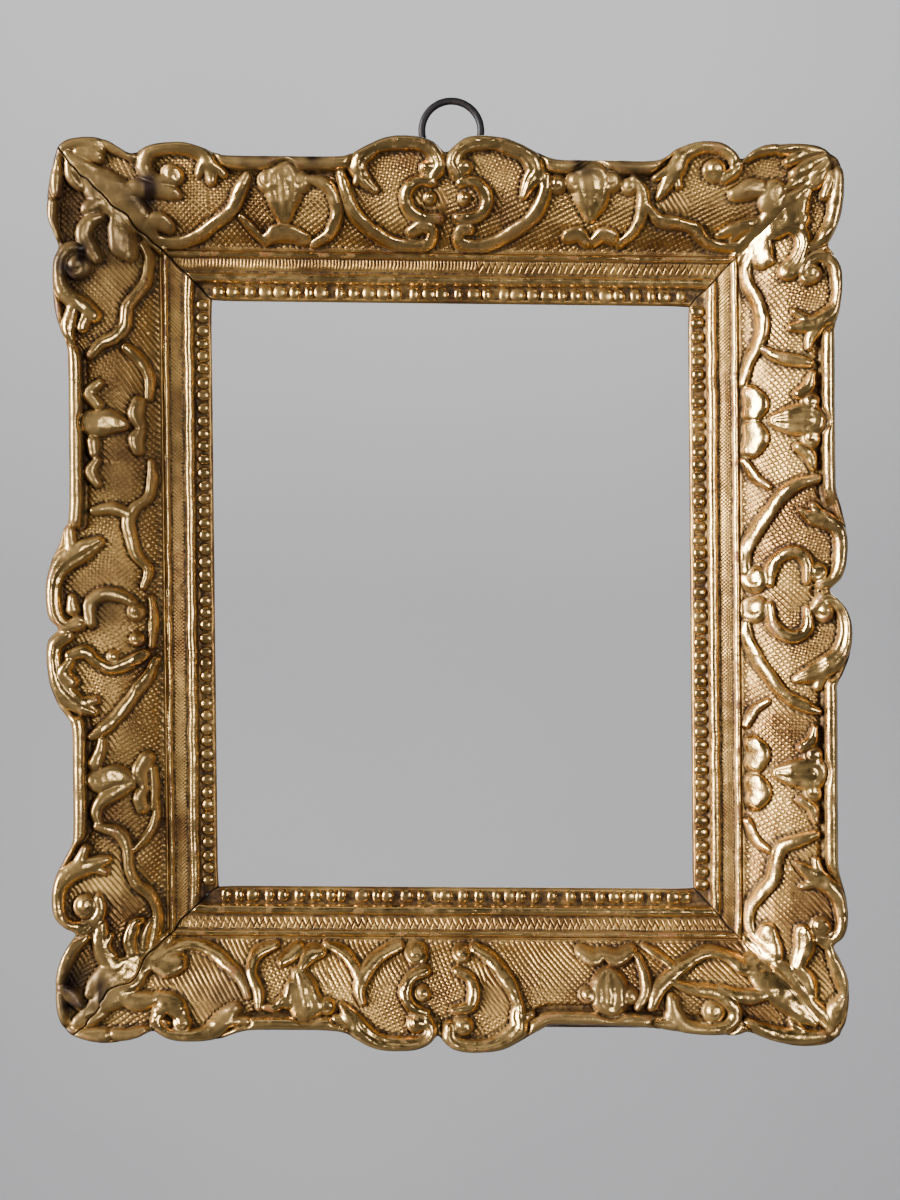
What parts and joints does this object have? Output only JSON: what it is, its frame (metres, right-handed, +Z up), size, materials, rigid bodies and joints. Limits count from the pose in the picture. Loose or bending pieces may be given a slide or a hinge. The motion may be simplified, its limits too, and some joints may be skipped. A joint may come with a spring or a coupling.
{
  "type": "picture frame",
  "caption": "Carved and gilded mitred picture frame, lobed outline, open rebate, hung by an iron ring on its back strap, with turning brass buttons to hold a panel",
  "frame": {"origin": "the point inside the top of the hanging ring where a wall hook bears, in the ring's plane, with the frame hung straight", "axes": "+X to the right seen from the front, +Y towards the wall behind, so the carved face looks along -Y, +Z up"},
  "size_m": [0.351, 0.0503, 0.4243],
  "materials": {
    "gilt_wood": "water gilding over red bole, burnished on the high carving, rubbed and dirty in the hollows",
    "bare_wood": "aged, planed, unfinished, with old dirt",
    "black_iron": "forged and blackened, slight sheen",
    "screw_steel": "dark oxidised steel, slotted",
    "brass": "dull old brass with brown tarnish"
  },
  "bodies": {
    "frame": {"top_rail": "gilt_wood", "bottom_rail": "gilt_wood", "left_rail": "gilt_wood", "right_rail": "gilt_wood", "key_top_left": "bare_wood", "key_top_right": "bare_wood", "key_bottom_left": "bare_wood", "key_bottom_right": "bare_wood", "hanger_strap": "black_iron", "strap_screw_upper": "screw_steel", "strap_screw_lower": "screw_steel", "pivot_screw_left_upper": "brass", "pivot_screw_left_lower": "brass", "pivot_screw_right_upper": "brass", "pivot_screw_right_lower": "brass"},
    "ring": {"hanging_ring": "black_iron"},
    "button_left_upper": {"turn_button_left_upper": "brass"},
    "button_left_lower": {"turn_button_left_lower": "brass"},
    "button_right_upper": {"turn_button_right_upper": "brass"},
    "button_right_lower": {"turn_button_right_lower": "brass"}
  },
  "joints": [
    {"name": "ring_swing", "type": "hinge", "parent": "frame", "child": "ring", "pos_m": [0, 0, -0.02505], "axis": [-1, 0, 0], "range_deg": [-60, 180]},
    {"name": "button_turn_left_upper", "type": "hinge", "parent": "frame", "child": "button_left_upper", "pos_m": [-0.121, -0.0039, -0.15705], "axis": [0, 1, 0], "continuous": true},
    {"name": "button_turn_left_lower", "type": "hinge", "parent": "frame", "child": "button_left_lower", "pos_m": [-0.121, -0.0039, -0.28705], "axis": [0, 1, 0], "continuous": true},
    {"name": "button_turn_right_upper", "type": "hinge", "parent": "frame", "child": "button_right_upper", "pos_m": [0.121, -0.0039, -0.15705], "axis": [0, 1, 0], "continuous": true},
    {"name": "button_turn_right_lower", "type": "hinge", "parent": "frame", "child": "button_right_lower", "pos_m": [0.121, -0.0039, -0.28705], "axis": [0, 1, 0], "continuous": true}
  ]
}
